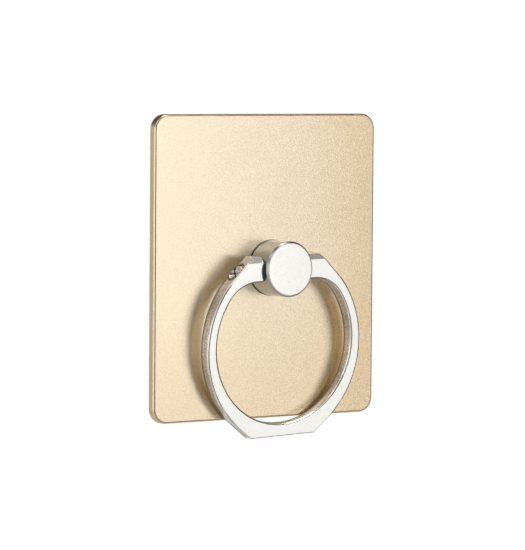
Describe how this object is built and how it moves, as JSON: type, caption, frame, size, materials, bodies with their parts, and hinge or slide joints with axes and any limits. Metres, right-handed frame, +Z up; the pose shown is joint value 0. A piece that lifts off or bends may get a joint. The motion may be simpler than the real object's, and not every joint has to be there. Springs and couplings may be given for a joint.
{
  "type": "phone ring holder",
  "caption": "Stick-on phone ring holder: a flat plate with an adhesive back, a swivelling round post and a hinged finger ring with a flat foot that folds flat or out as a stand.",
  "frame": {"origin": "on the back of the adhesive pad, on the axis that the post swivels about", "axes": "+X right, +Y out of the back towards the phone, +Z up; the front faces -Y"},
  "size_m": [0.035, 0.0064, 0.0424],
  "materials": {
    "gold_plate": "bead blasted, gold anodised",
    "adhesive_foam": "closed-cell foam tape",
    "post_metal": "satin face, turned side",
    "ring_metal": "satin faces, cast wall",
    "black_washer": "matte",
    "spring_steel": "rolled sheet",
    "screw_steel": "nickel plated"
  },
  "bodies": {
    "base": {"base_plate": "gold_plate", "adhesive_pad": "adhesive_foam"},
    "post": {"swivel_post": "post_metal", "base_washer": "black_washer", "spring_washer": "spring_steel", "retaining_washer": "spring_steel", "left_friction_washer": "black_washer", "left_hinge_screw": "screw_steel", "right_friction_washer": "black_washer", "right_hinge_screw": "screw_steel"},
    "ring": {"finger_ring": "ring_metal"}
  },
  "joints": [
    {"name": "swivel", "type": "hinge", "parent": "base", "child": "post", "pos_m": [0, 0, 0], "axis": [0, -1, 0], "continuous": true},
    {"name": "ring_hinge", "type": "hinge", "parent": "post", "child": "ring", "pos_m": [0, -0.00451, 0], "axis": [-0.9995, 0, -0.0314], "range_deg": [0, 186.5]}
  ]
}
